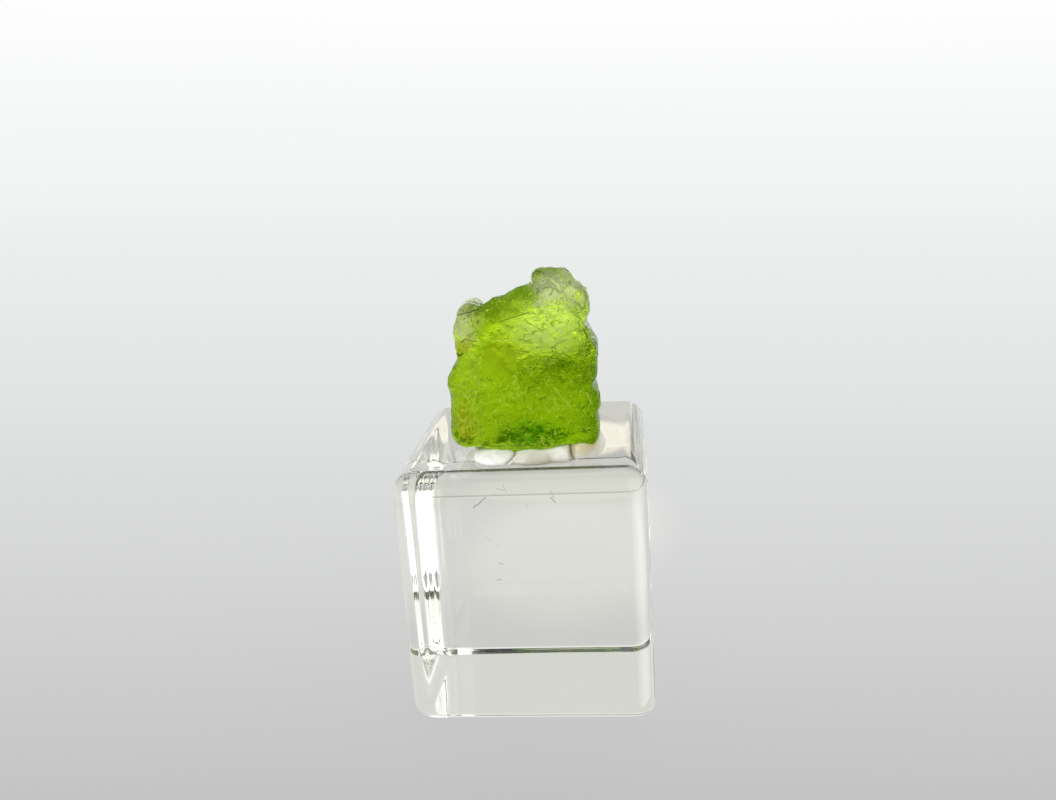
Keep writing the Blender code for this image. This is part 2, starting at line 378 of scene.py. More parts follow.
def floor_material():
    """Opal acrylic lit from below: most of its light is its own, so shadows hardly show."""
    made, tree, surface = new_material("opal light table")
    place = add_node(tree, "ShaderNodeTexCoord", output="Object")
    colour = fan_of_shades(tree, place)
    # Each glow brightens the table's colour: a painted pool of light.
    for soft, gain, centre, half_sizes in GLOWS:
        inside = spot(tree, place, centre, half_sizes, soft)
        lit = add_node(tree, "ShaderNodeVectorMath", TIMES, {0: colour, 1: gain})
        colour = add_node(
            tree, "ShaderNodeMix", LAYERS, {"Factor": inside, UNDER: colour, OVER: lit}
        )
    dim = add_node(tree, "ShaderNodeVectorMath", SCALED, {0: colour, "Scale": SKIN_SHARE})
    finish = {"Base Color": dim, "Roughness": 0.9, "Specular IOR Level": 0.0}
    feed(tree, surface, {**finish, "Emission Color": colour, "Emission Strength": OWN_LIGHT})
    return made


sheet = bmesh.new()
bmesh.ops.create_grid(
    sheet,
    x_segments=1,
    y_segments=1,
    size=FLOOR_HALF,
    matrix=Matrix.Translation((0.0, 0.0, -FLOOR_GAP)),
)
floor_mesh = as_mesh(sheet, "floor")
floor_mesh.materials.append(floor_material())
floor = add_object("floor", floor_mesh)
print("floor", 2 * FLOOR_HALF, "m a side")

# %% [markdown]
# ## A finer skin
# The stone and the tack are packed with flat triangles about half a millimetre long. A voxel remesh
# lays an even net of small quads over a copy, and smoothing passes take the flats off, so that the
# net is ready to be etched or kneaded. The copy's doubled points are merged first, because a packed
# mesh is loose triangles.

# %% Remesh
MERGE_DISTANCE = 0.001 * MM


def fine_skin(node, name, voxel, passes):
    """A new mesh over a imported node: even quads of about the voxel's size, smoothed."""
    cells = bmesh.new()
    cells.from_mesh(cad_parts[node].data)
    bmesh.ops.remove_doubles(cells, verts=cells.verts, dist=MERGE_DISTANCE)
    rough = add_object(name + " rough", as_mesh(cells, name + " rough"))
    net = rough.modifiers.new("net", "REMESH")
    net.mode = "VOXEL"
    net.voxel_size = voxel
    soften = rough.modifiers.new("soften", "SMOOTH")
    soften.iterations = passes
    graph = bpy.context.evaluated_depsgraph_get()
    skin = bpy.data.meshes.new_from_object(rough.evaluated_get(graph))
    skin.name = name
    bpy.data.objects.remove(rough)
    return skin


STONE_VOXEL = 0.125 * MM
STONE_SOFTENING = 14
stone_skin = fine_skin("peridot_crystal", "etched_peridot", STONE_VOXEL, STONE_SOFTENING)
print("stone skin:", len(stone_skin.polygons), "quads")

# %% [markdown]
# ## Trees that shape a skin
# Etching and kneading both move a skin along its normal by a height that follows a rule, which is
# work for Geometry Nodes. Both trees begin and end the same way, so functions make those ends.
# Every size is a named input in metres, and a modifier sets it by the socket's identifier.

# %% Ends of a tree
def new_modifier_tree(name, lengths):
    """An empty tree with a Skin in and out, a Finish, and named lengths. Returns tree, in, out."""
    tree = bpy.data.node_groups.new(name, "GeometryNodeTree")
    tree.is_modifier = True
    tree.interface.new_socket("Skin", in_out="OUTPUT", socket_type="NodeSocketGeometry")
    tree.interface.new_socket("Skin", in_out="INPUT", socket_type="NodeSocketGeometry")
    tree.interface.new_socket("Finish", in_out="INPUT", socket_type="NodeSocketMaterial")
    for length in lengths:
        tree.interface.new_socket(length, in_out="INPUT", socket_type="NodeSocketFloat")
    return tree, tree.nodes.new("NodeGroupInput").outputs, tree.nodes.new("NodeGroupOutput")


def push_out(tree, given, height, result):
    """Ends a tree: moves the skin along its normal by the height, smooths it and dresses it."""
    normal = add_node(tree, "GeometryNodeInputNormal")
    offset = add_node(tree, "ShaderNodeVectorMath", SCALED, {0: normal, "Scale": height})
    moved = add_node(
        tree, "GeometryNodeSetPosition", inputs={"Geometry": given["Skin"], "Offset": offset}
    )
    smooth = add_node(
        tree, "GeometryNodeSetShadeSmooth", inputs={"Geometry": moved, "Shade Smooth": True}
    )
    real = add_node(tree, "GeometryNodeRealizeInstances", inputs={"Geometry": smooth})
    dressed = add_node(
        tree, "GeometryNodeSetMaterial", inputs={"Geometry": real, "Material": given["Finish"]}
    )
    tree.links.new(dressed, result.inputs["Skin"])


def total(tree, heights):
    """The sum of the heights."""
    summed = heights[0]
    for height in heights[1:]:
        summed = add_node(tree, "ShaderNodeMath", PLUS, {0: summed, 1: height})
    return summed


def noise_at(tree, place, size, detail=2.0, roughness=0.5):
    """Smooth noise from 0 to 1 with features of about this size, which is a tree's input."""
    scale = add_node(tree, "ShaderNodeMath", {"operation": "DIVIDE"}, {0: 1.0, 1: size})
    return add_node(
        tree,
        "ShaderNodeTexNoise",
        inputs={"Vector": place, "Scale": scale, "Detail": detail, "Roughness": roughness},
    )


def grown(mesh, name, tree, values):
    """Runs a tree on a mesh and returns a plain object with the result and no modifier."""
    raw = add_object(name + " raw", mesh)
    modifier = raw.modifiers.new(tree.name, "NODES")
    modifier.node_group = tree
    for item in tree.interface.items_tree:
        if item.in_out == "INPUT" and item.name in values:
            modifier[item.identifier] = values[item.name]
    graph = bpy.context.evaluated_depsgraph_get()
    result = bpy.data.meshes.new_from_object(raw.evaluated_get(graph))
    result.name = name
    bpy.data.objects.remove(raw)
    return add_object(name, result)


print("points to move on the stone:", len(stone_skin.vertices))

# %% [markdown]
# ## The etched skin
# Fluids have eaten at this crystal: its faces are scalloped like hammered metal, with finer
# scallops inside, low terraces with crisp edges, and fine grooves that run up the stone, along its
# c axis. Scallops are cells of a Voronoi pattern, squared so that they meet in sharp ridges.
# Terraces are noise cut into steps, and grooves are noise drawn out upwards. The back, which only
# shows through the stone, is left smoother, so that the light's way through stays readable.

# %% Etching
ETCHING = {
    "Scallop size": 1.7 * MM,
    "Scallop depth": 0.16 * MM,
    "Fine scallop size": 0.62 * MM,
    "Fine scallop depth": 0.07 * MM,
    "Terrace size": 3.2 * MM,
    "Terrace step": 0.055 * MM,
    "Groove spacing": 0.42 * MM,
    "Groove depth": 0.03 * MM,
    "Back share": 0.3,
}
SWAY_SIZE, SWAY_REACH = MM / 0.7, 0.5 * MM
TERRACES = 7.0
RISER_FROM, RISER_TO = 0.4, 0.6
GROOVE_STRETCH = 0.16
MEAN_TERRACE = 3.5
MEAN_BOWL = 0.25
PATCHY_FROM, PATCHY_TO = 0.35, 0.6


def by_place(tree, coordinate, start, end, before=0.0, after=1.0):
    """A value that changes smoothly as a coordinate goes from start to end in millimetres."""
    return add_node(
        tree,
        "ShaderNodeMapRange",
        EASED,
        {"Value": coordinate, **between(start * MM, end * MM, before, after)},
    )


def scallops(tree, place, size, depth):
    """Round hollows of about this size that meet in sharp ridges, the ridges standing out."""
    scale = add_node(tree, "ShaderNodeMath", {"operation": "DIVIDE"}, {0: 1.0, 1: size})
    cells = add_node(
        tree, "ShaderNodeTexVoronoi", {"feature": "F1"}, {"Vector": place, "Scale": scale}
    )
    bowl = add_node(tree, "ShaderNodeMath", {"operation": "POWER"}, {0: cells, 1: 2.0})
    centred = add_node(tree, "ShaderNodeMath", MINUS, {0: bowl, 1: MEAN_BOWL})
    return add_node(tree, "ShaderNodeMath", TIMES, {0: centred, 1: depth})


def terraces(tree, place, size, step):
    """Flat steps of this height, cut from noise of this size, with short risers between them."""
    levels = add_node(
        tree, "ShaderNodeMath", TIMES, {0: noise_at(tree, place, size, 3.0), 1: TERRACES}
    )
    level = add_node(tree, "ShaderNodeMath", {"operation": "FLOOR"}, {0: levels})
    within = add_node(tree, "ShaderNodeMath", {"operation": "FRACT"}, {0: levels})
    riser = add_node(
        tree, "ShaderNodeMapRange", EASED, {"Value": within, **between(RISER_FROM, RISER_TO)}
    )
    risen = total(tree, [level, riser])
    return add_node(tree, "ShaderNodeMath", TIMES, {0: risen, 1: step})


def etching_tree():
    tree, given, result = new_modifier_tree("etched skin", ETCHING)
    place = add_node(tree, "GeometryNodeInputPosition")
    waver = add_node(
        tree,
        "ShaderNodeTexNoise",
        inputs={"Vector": place, "Scale": 1 / SWAY_SIZE, "Detail": 1.0},
        output="Color",
    )
    sway = add_node(tree, "ShaderNodeVectorMath", SCALED, {0: waver, "Scale": SWAY_REACH})
    swayed = add_node(tree, "ShaderNodeVectorMath", PLUS, {0: place, 1: sway})

    broad = scallops(tree, swayed, given["Scallop size"], given["Scallop depth"])
    patchy = add_node(
        tree,
        "ShaderNodeMapRange",
        EASED,
        {"Value": noise_at(tree, place, given["Terrace size"]), **between(PATCHY_FROM, PATCHY_TO)},
    )
    fine = scallops(tree, swayed, given["Fine scallop size"], given["Fine scallop depth"])
    fine = add_node(tree, "ShaderNodeMath", TIMES, {0: fine, 1: patchy})
    steps = terraces(tree, swayed, given["Terrace size"], given["Terrace step"])
    upright = add_node(
        tree, "ShaderNodeVectorMath", TIMES, {0: swayed, 1: (1.0, 1.0, GROOVE_STRETCH)}
    )
    grooves = noise_at(tree, upright, given["Groove spacing"], 1.0)
    grooves = add_node(tree, "ShaderNodeMath", TIMES, {0: grooves, 1: given["Groove depth"]})
    lowered = add_node(tree, "ShaderNodeMath", TIMES, {0: given["Terrace step"], 1: -MEAN_TERRACE})
    height = total(tree, [broad, fine, steps, grooves, lowered])

    depth = add_node(tree, "ShaderNodeSeparateXYZ", inputs={"Vector": place}, output="Y")
    fading = by_place(tree, depth, -5.5, -3.0, 1.0, given["Back share"])
    height = add_node(tree, "ShaderNodeMath", TIMES, {0: height, 1: fading})
    push_out(tree, given, height, result)
    return tree


print("etching inputs:", list(ETCHING))

# %% [markdown]
# ## Masks
# A mask is a value that is 1 where something is and 0 elsewhere. The crystal's finest marks are
# under a tenth of a millimetre wide, finer than the mesh, so its material draws them from masks.
# All of them read Object coordinates, which are metres in the part's own frame, so a mark stays
# where it is from any side. A waver pulls each mask about a little, because nothing in a natural
# skin is straight or round.

# %% Masks
def wavered(tree, place, size, reach):
    """The place, drawn aside by up to the reach in swirls of this size."""
    swirl = add_node(
        tree,
        "ShaderNodeTexNoise",
        inputs={"Vector": place, "Scale": 1 / size, "Detail": 2.0},
        output="Color",
    )
    aside = add_node(tree, "ShaderNodeVectorMath", MINUS, {0: swirl, 1: (0.5, 0.5, 0.5)})
    drift = add_node(tree, "ShaderNodeVectorMath", SCALED, {0: aside, "Scale": 2 * reach})
    return add_node(tree, "ShaderNodeVectorMath", PLUS, {0: place, 1: drift})


def patches(tree, place, size, level, soft):
    """1 where smooth noise of this size is above the level. A negative softness gives the parts
    below it instead."""
    noise = add_node(
        tree, "ShaderNodeTexNoise", inputs={"Vector": place, "Scale": 1 / size, "Detail": 1.0}
    )
    return add_node(
        tree, "ShaderNodeMapRange", EASED, {"Value": noise, **between(level - soft, level + soft)}
    )


def strokes(tree, place, size, width, kept):
    """Thin broken lines along the borders of cells of this size. More are kept the lower the last
    value is."""
    border = add_node(
        tree,
        "ShaderNodeTexVoronoi",
        {"feature": "DISTANCE_TO_EDGE"},
        {"Vector": place, "Scale": 1 / size},
    )
    line = add_node(
        tree,
        "ShaderNodeMapRange",
        EASED,
        {"Value": border, **between(width / size, 0.3 * width / size)},
    )
    breaks = patches(tree, place, 0.8 * size, kept, 0.06)
    return add_node(tree, "ShaderNodeMath", TIMES, {0: line, 1: breaks})


def scratch(tree, place, start, end, width):
    """1 on a line between two points in millimetres, seen from the front, falling to 0 beside."""
    start, end = Vector((start[0], 0.0, start[1])) * MM, Vector((end[0], 0.0, end[1])) * MM
    run = end - start
    flat = add_node(tree, "ShaderNodeVectorMath", TIMES, {0: place, 1: (1.0, 0.0, 1.0)})
    along = add_node(tree, "ShaderNodeVectorMath", MINUS, {0: flat, 1: start})
    share = add_node(tree, "ShaderNodeVectorMath", ALONG, {0: along, 1: run / run.length_squared})
    share = add_node(tree, "ShaderNodeMapRange", inputs={"Value": share})
    foot = add_node(tree, "ShaderNodeVectorMath", SCALED, {0: run, "Scale": share})
    away = add_node(tree, "ShaderNodeVectorMath", {"operation": "DISTANCE"}, {0: along, 1: foot})
    return add_node(
        tree, "ShaderNodeMapRange", EASED, {"Value": away, **between(width * MM, 0.4 * width * MM)}
    )


def scratched(tree, place, lines, mask=0.0):
    """The mask with lines added, each a start, an end and a width in millimetres."""
    for start, end, width in lines:
        line = scratch(tree, place, start, end, width)
        mask = add_node(tree, "ShaderNodeMath", LARGER, {0: mask, 1: line})
    return mask


def pane(tree, place, low, high, soft=0.04):
    """1 inside a rectangle between two corners in millimetres, seen from the front."""
    low, high = Vector((low[0], 0.0, low[1])) * MM, Vector((high[0], 0.0, high[1])) * MM
    half = (high - low) / 2
    away = add_node(tree, "ShaderNodeVectorMath", MINUS, {0: place, 1: (low + high) / 2})
    scaled = add_node(
        tree, "ShaderNodeVectorMath", TIMES, {0: away, 1: (1 / half.x, 0.0, 1 / half.z)}
    )
    folded = add_node(tree, "ShaderNodeVectorMath", {"operation": "ABSOLUTE"}, {0: scaled})
    across = add_node(tree, "ShaderNodeSeparateXYZ", inputs={"Vector": folded}, output="X")
    farther = add_node(tree, "ShaderNodeMath", LARGER, {0: across, 1: across.node.outputs["Z"]})
    return add_node(
        tree, "ShaderNodeMapRange", EASED, {"Value": farther, **between(1.0 + soft, 1.0 - soft)}
    )


def tinted(tree, place, colour, spots):
    """The colour with spots over it, each a shade, a middle and half sizes in millimetres."""
    for shade, centre, half_sizes in spots:
        inside = spot(tree, place, centre, half_sizes)
        colour = add_node(
            tree, "ShaderNodeMix", LAYERS, {"Factor": inside, UNDER: colour, OVER: linear(shade)}
        )
    return colour


def coated(tree, colour, coats):
    """The colour with coats over it, each a mask, how much of it covers, and a shade."""
    for mask, cover, shade in coats:
        amount = add_node(tree, "ShaderNodeMath", TIMES, {0: mask, 1: cover})
        colour = add_node(
            tree, "ShaderNodeMix", LAYERS, {"Factor": amount, UNDER: colour, OVER: linear(shade)}
        )
    return colour


print("a quad is", STONE_VOXEL / MM, "mm wide, so finer marks come from masks")

# %% [markdown]
# ## Peridot
# Gem olivine is transparent and takes its yellow-green from iron, which swallows violet and blue
# and some red. So most of the colour is not painted on: light loses it along its way through the
# stone, and thin parts, such as the knob and the left lobes, come out pale. The shader transmits,
# with olivine's index of 1.67 and an absorption set per metre. Veils and stains just under the skin
# shift that colour from place to place, and the base colour, which tints what passes, stands for
# them. The base colour also holds painted light: pale spots where light from above shows through,
# painted highlights on the glints and facets, and painted shade in the hollows and wrinkles. The
# knob, the left lobes and the pale middle are frosted: there the shader transmits less and scatters
# more. The worn skin scatters a little everywhere, which a low roughness and a fine bump give. Its
# reflection is tinted green, because most of what seems to come off a rough facet has been through
# a corner of the stone.

# %% Peridot's colours and marks
PERIDOT_IOR = 1.67
PERIDOT_ABSORPTION = (0.845, 0.935, 0.03, 1.0)
PERIDOT_DENSITY = 400.0
BODY_TINT = "#C8E060"
SKIN_SHEEN = "#7CA020"

# Each is a shade, its middle and its half sizes in millimetres. Pale spots lie in the middle, the
# knob, the lobes and the smooth pane: partly veils under the skin, partly painted light from above.
# A darker spot at the foot is painted shade; darker ones lie under the top edge, and brown stains
# at the left.
TINTS = [
    ("#F2F8CC", (2.9, -8.0, 40.8), (3.8, 3.0, 2.3)),
    ("#FAFFDC", (5.0, -7.0, 44.4), (3.2, 4.0, 2.6)),
    ("#FFFAE4", (-4.7, -7.0, 41.8), (1.6, 4.0, 3.0)),
    ("#F4FFC0", (-1.2, -8.5, 38.2), (1.5, 1.5, 1.6)),
    ("#A8BC60", (6.7, -7.5, 35.9), (1.2, 3.0, 1.1)),
    ("#68B868", (1.4, -7.5, 30.6), (3.2, 3.0, 1.4)),
    ("#7C9C3C", (-1.9, -7.2, 43.2), (2.6, 3.0, 0.8)),
    ("#7C9C3C", (1.0, -7.2, 44.4), (1.7, 3.0, 0.8)),
    ("#B89850", (-5.3, -7.0, 31.4), (1.2, 4.0, 1.8)),
    ("#C8A860", (-4.6, -7.0, 39.5), (1.1, 3.0, 0.9)),
]

# Each cut is a start, an end and a width in millimetres. The dark ones are the seams of the lobes
# and of the top growth, the line along the foot, and specks.
DARK_CUTS = [
    ((-4.95, 40.05), (-4.5, 40.35), 0.06),
    ((-4.5, 40.35), (-3.4, 40.17), 0.06),
    ((-5.36, 42.59), (-3.06, 43.11), 0.05),
    ((-1.02, 41.95), (0.55, 42.4), 0.05),
    ((0.55, 42.4), (1.75, 42.74), 0.05),
    ((1.75, 42.74), (2.6, 42.62), 0.04),
    ((2.34, 33.95), (3.06, 34.33), 0.09),
    ((4.88, 38.7), (5.81, 38.06), 0.07),
    ((7.1, 40.71), (7.45, 40.01), 0.08),
    ((-3.4, 29.33), (4.15, 29.29), 0.05),
    ((-5.75, 38.85), (-5.3, 38.65), 0.24),
    ((-5.3, 38.6), (-4.9, 38.9), 0.12),
    ((-3.2, 42.1), (-3.1, 41.95), 0.13),
]

# The bright ones, painted highlights, are a sheaf of scratches low at the left, and three glints
# in the middle.
BRIGHT_CUTS = [
    ((-4.33, 33.76), (-4.91, 32.94), 0.08),
    ((-4.91, 33.24), (-5.2, 32.85), 0.07),
    ((-4.9, 32.44), (-5.68, 31.86), 0.08),
    ((-5.1, 32.14), (-5.48, 31.56), 0.07),
    ((-4.75, 32.34), (-4.78, 30.95), 0.07),
    ((3.42, 39.6), (3.42, 39.1), 0.07),
    ((-1.2, 38.9), (-1.15, 38.85), 0.07),
    ((1.7, 37.5), (1.75, 37.45), 0.08),
]

# A flat part of the front with hardly a mark, by its lower left and upper right corners, and a
# spot at the left where glints crowd.
SMOOTH_PANE = ((-2.75, 36.6), (0.35, 39.95))
THICK_GLINTS = ((-5.2, -7.5, 33.4), (1.5, 3.0, 4.2))

# Frosted zones: how much is scattered, the middle and the half sizes in millimetres.
FROST_ZONES = [
    (0.48, (5.0, -7.0, 44.7), (2.9, 4.0, 2.2)),
    (0.27, (4.2, -8.0, 41.5), (4.1, 3.0, 2.7)),
    (0.40, (-4.5, -7.0, 42.2), (1.6, 4.0, 2.6)),
    (0.66, (3.6, -7.0, 44.5), (1.7, 4.0, 1.7)),
    (0.58, (-4.2, -7.0, 43.2), (1.5, 4.0, 1.0)),
]
print("stone:", len(TINTS), "tints,", len(DARK_CUTS) + len(BRIGHT_CUTS), "cuts")

# %% Peridot material
# A waver is the size of its swirls and how far they pull.
RAGGED, CURL, PANE_WAVER = (1.2 * MM, 1.1 * MM), (0.7 * MM, 0.4 * MM), (1.5 * MM, 0.15 * MM)
BRIGHT_CUT_WAVER, DARK_CUT_WAVER = (0.5 * MM, 0.1 * MM), (0.5 * MM, 0.12 * MM)

# Patches are their size, the level of noise that they begin at, and how soft their borders are.
ETCHED = (2.2 * MM, 0.47, 0.1)
HOLLOWS = (0.26 * MM, 0.42, -0.12)
FACETS = (0.24 * MM, 0.6, 0.08)

# Strokes are the size of the cells that they run between, their width, and how broken they are.
WRINKLES = (1.1 * MM, 0.1 * MM, 0.55)
GLINTS = (0.8 * MM, 0.07 * MM, 0.57)
MORE_GLINTS = (0.6 * MM, 0.07 * MM, 0.5)
GLINT_STRETCH = 0.6
GLINT_FROST = 0.32

# A coat is how much of the colour below it covers, and its shade.
PANE_COAT = (0.8, "#D4E060")
# The hollow and wrinkle coats are painted shade; the facet and glint coats are painted highlights.
HOLLOW_SHADE_COAT, FACET_HIGHLIGHT_COAT = (0.55, "#7C9428"), (0.6, "#FFFFA0")
WRINKLE_SHADE_COAT, GLINT_HIGHLIGHT_COAT, CUT_COAT = (0.6, "#647C18"), (0.9, "#F0FF64"), (0.9, "#20240A")

# What changes from front to back is the depths in millimetres between which it does, and its value
# before and after them.
PANE_RUGGED = 0.15
RUGGED_BY_DEPTH = (-4.2, -2.2, 1.0, 0.2)
CUTS_BY_DEPTH = (-4.5, -5.0)
RELIEF_BY_DEPTH = (-6.0, -4.0, 0.8, 0.1)
ROUGHNESS_BY_DEPTH = (-6.5, -2.5, 0.13, 0.4)
CRUMPLE_SIZE, CRUMPLE_SHARE = 0.45 * MM, 3.0
RELIEF_HEIGHT = 0.035 * MM


def etched_masks(tree, place, rugged):
    """The skin's fine hollows, facets, wrinkles and glints as masks, with the curled place that
    most of them read. Glints are drawn upright, as the grooves run, and crowd at the left."""
    curled = wavered(tree, place, *CURL)
    etched = patches(tree, place, *ETCHED)
    etched = add_node(tree, "ShaderNodeMath", TIMES, {0: etched, 1: rugged})
    hollows = patches(tree, curled, *HOLLOWS)
    hollows = add_node(tree, "ShaderNodeMath", TIMES, {0: hollows, 1: etched})
    elsewhere = add_node(tree, "ShaderNodeVectorMath", PLUS, {0: curled, 1: Vector((4, 0, 7)) * MM})
    facets = patches(tree, elsewhere, *FACETS)
    facets = add_node(tree, "ShaderNodeMath", TIMES, {0: facets, 1: etched})
    wrinkles = strokes(tree, curled, *WRINKLES)
    wrinkles = add_node(tree, "ShaderNodeMath", TIMES, {0: wrinkles, 1: rugged})
    upright = add_node(
        tree, "ShaderNodeVectorMath", TIMES, {0: curled, 1: (1.0, 1.0, GLINT_STRETCH)}
    )
    glints = strokes(tree, upright, *GLINTS)
    elsewhere = add_node(tree, "ShaderNodeVectorMath", PLUS, {0: upright, 1: Vector((5, 2, 3)) * MM})
    thick = strokes(tree, elsewhere, *MORE_GLINTS)
    thick = add_node(tree, "ShaderNodeMath", TIMES, {0: thick, 1: spot(tree, place, *THICK_GLINTS)})
    glints = add_node(tree, "ShaderNodeMath", LARGER, {0: glints, 1: thick})
    # The bright cuts join the glints and take their painted highlight.
    glints = scratched(tree, wavered(tree, place, *BRIGHT_CUT_WAVER), BRIGHT_CUTS, glints)
    glints = add_node(tree, "ShaderNodeMath", TIMES, {0: glints, 1: rugged})
    return curled, hollows, facets, wrinkles, glints


def frosted(tree, place, frost):
    """The frost with that of the zones, and what is left for the transmission."""
    for amount, centre, half_sizes in FROST_ZONES:
        inside = spot(tree, place, centre, half_sizes)
        inside = add_node(tree, "ShaderNodeMath", TIMES, {0: inside, 1: amount})
        frost = add_node(tree, "ShaderNodeMath", LARGER, {0: frost, 1: inside})
    return add_node(tree, "ShaderNodeMath", MINUS, {0: 1.0, 1: frost})


def skin_relief(tree, curled, rugged, raised, sunk):
    """The crumpled skin's height, with raised and sunk masks."""
    crumple = add_node(
        tree,
        "ShaderNodeTexNoise",
        inputs={"Vector": curled, "Scale": 1 / CRUMPLE_SIZE, "Detail": 4.0, "Roughness": 0.6},
    )
    from_middle = add_node(tree, "ShaderNodeMath", MINUS, {0: crumple, 1: 0.5})
    ridges = add_node(tree, "ShaderNodeMath", {"operation": "ABSOLUTE"}, {0: from_middle})
    ridges = add_node(tree, "ShaderNodeMath", TIMES, {0: ridges, 1: rugged})
    ridges = add_node(tree, "ShaderNodeMath", TIMES, {0: ridges, 1: CRUMPLE_SHARE})
    dips = [add_node(tree, "ShaderNodeMath", TIMES, {0: mask, 1: -1.0}) for mask in sunk]
    return total(tree, [ridges, *raised, *dips])


def peridot_material():
    """Gem olivine with an etched skin: clear inside, with painted highlights on its glints and
    facets and painted shade in its hollows and wrinkles. The back is smoother to the eye, with a
    duller skin, and has no dark cuts."""
    made, tree, surface = new_material("etched peridot")
    place = add_node(tree, "ShaderNodeTexCoord", output="Object")
    ragged = wavered(tree, place, *RAGGED)
    # Tints over the body: veils and stains, with painted light from above and painted shade at the
    # foot.
    colour = tinted(tree, ragged, linear(BODY_TINT), TINTS)

    depth = add_node(tree, "ShaderNodeSeparateXYZ", inputs={"Vector": place}, output="Y")
    smooth = pane(tree, wavered(tree, place, *PANE_WAVER), *SMOOTH_PANE)
    colour = coated(tree, colour, [(smooth, *PANE_COAT)])
    rugged = add_node(
        tree, "ShaderNodeMapRange", EASED, {"Value": smooth, "To Min": 1.0, "To Max": PANE_RUGGED}
    )
    to_back = by_place(tree, depth, *RUGGED_BY_DEPTH)
    rugged = add_node(tree, "ShaderNodeMath", TIMES, {0: rugged, 1: to_back})
    curled, hollows, facets, wrinkles, glints = etched_masks(tree, place, rugged)
    # Painted light in the base colour: highlights on facets and glints, shade in hollows and
    # wrinkles.
    coats = [
        (hollows, *HOLLOW_SHADE_COAT),
        (facets, *FACET_HIGHLIGHT_COAT),
        (wrinkles, *WRINKLE_SHADE_COAT),
        (glints, *GLINT_HIGHLIGHT_COAT),
    ]
    colour = coated(tree, colour, coats)
    cuts = scratched(tree, wavered(tree, place, *DARK_CUT_WAVER), DARK_CUTS)
    in_front = by_place(tree, depth, *CUTS_BY_DEPTH)
    cuts = add_node(tree, "ShaderNodeMath", TIMES, {0: cuts, 1: in_front})
    colour = coated(tree, colour, [(cuts, *CUT_COAT)])
    feed(tree, surface, {"Base Color": colour, "Specular Tint": linear(SKIN_SHEEN)})

    frost = add_node(tree, "ShaderNodeMath", TIMES, {0: glints, 1: GLINT_FROST})
    passing = frosted(tree, ragged, frost)
    feed(tree, surface, {"Transmission Weight": passing, "IOR": PERIDOT_IOR})

    relief = skin_relief(tree, curled, rugged, (facets, glints), (hollows, wrinkles, cuts))
    strength = by_place(tree, depth, *RELIEF_BY_DEPTH)
    bump = add_node(
        tree,
        "ShaderNodeBump",
        inputs={"Height": relief, "Distance": RELIEF_HEIGHT, "Strength": strength},
    )
    rough = by_place(tree, depth, *ROUGHNESS_BY_DEPTH)
    feed(tree, surface, {"Normal": bump, "Roughness": rough})

    inside = add_node(
        tree,
        "ShaderNodeVolumeAbsorption",
        inputs={"Color": PERIDOT_ABSORPTION, "Density": PERIDOT_DENSITY},
    )
    feed(tree, tree.nodes["Material Output"], {"Volume": inside})
    return made


peridot = peridot_material()
stone = grown(stone_skin, "etched_peridot", etching_tree(), {**ETCHING, "Finish": peridot})
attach(stone, "root")
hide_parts("peridot_crystal")
print("etched stone:", len(stone.data.polygons), "quads")

# %% [markdown]
# ## The tack
# White mineral tack is a soft putty, kneaded between the fingers and pressed under the stone. It
# keeps finger flats, wrinkles where it was squeezed, and furrows where two rolls met. A second tree
# like the stone's raises lumps from noise and cuts the furrows, each a groove across a line.

# %% Kneading
KNEADING = {
    "Lump size": 1.3 * MM,
    "Lump height": 0.12 * MM,
    "Wrinkle size": 0.45 * MM,
    "Wrinkle height": 0.12 * MM,
    "Furrow depth": 0.3 * MM,
}

# A furrow is its middle in millimetres, the direction across it, and its width in millimetres.
FURROWS = [
    ((-1.15, -9.3, 28.0), (0.62, 0.0, -0.78), 0.14),
    ((-0.75, -9.3, 28.2), (0.62, 0.0, -0.78), 0.10),
    ((5.3, -9.0, 28.6), (0.95, 0.0, 0.3), 0.18),
]
FURROW_REACH = (1.3, 1.6, 1.3)
WRINKLED = [((-0.4, -9.0, 27.9), (1.6, 2.0, 1.2)), ((3.8, -9.0, 28.2), (1.8, 2.0, 1.3))]


def furrow(tree, place, centre, across, width):
    """-1 in the furrow's bottom, rising to 0 at its sides and its ends."""
    away = add_node(tree, "ShaderNodeVectorMath", MINUS, {0: place, 1: Vector(centre) * MM})
    aside = add_node(tree, "ShaderNodeVectorMath", ALONG, {0: away, 1: Vector(across).normalized()})
    aside = add_node(tree, "ShaderNodeMath", {"operation": "ABSOLUTE"}, {0: aside})
    cut = add_node(
        tree, "ShaderNodeMapRange", EASED, {"Value": aside, **between(width * MM, 0.0, 0.0, -1.0)}
    )
    within = spot(tree, place, centre, FURROW_REACH)
    return add_node(tree, "ShaderNodeMath", TIMES, {0: cut, 1: within})


def kneading_tree():
    tree, given, result = new_modifier_tree("kneaded skin", KNEADING)
    place = add_node(tree, "GeometryNodeInputPosition")
    parts = [(noise_at(tree, place, given["Lump size"], 1.0), given["Lump height"])]
    wrinkle = noise_at(tree, place, given["Wrinkle size"], 2.0, 0.6)
    for centre, half_sizes in WRINKLED:
        within = spot(tree, place, centre, half_sizes)
        within = add_node(tree, "ShaderNodeMath", TIMES, {0: wrinkle, 1: within})
        parts.append((within, given["Wrinkle height"]))
    for values in FURROWS:
        parts.append((furrow(tree, place, *values), given["Furrow depth"]))
    heights = [add_node(tree, "ShaderNodeMath", TIMES, {0: form, 1: size}) for form, size in parts]
    push_out(tree, given, total(tree, heights), result)
    return tree


TACK_VOXEL = 0.09 * MM
TACK_SOFTENING = 6
tack_skin = fine_skin("mineral_tack", "kneaded_tack", TACK_VOXEL, TACK_SOFTENING)
print("tack skin:", len(tack_skin.polygons), "quads")
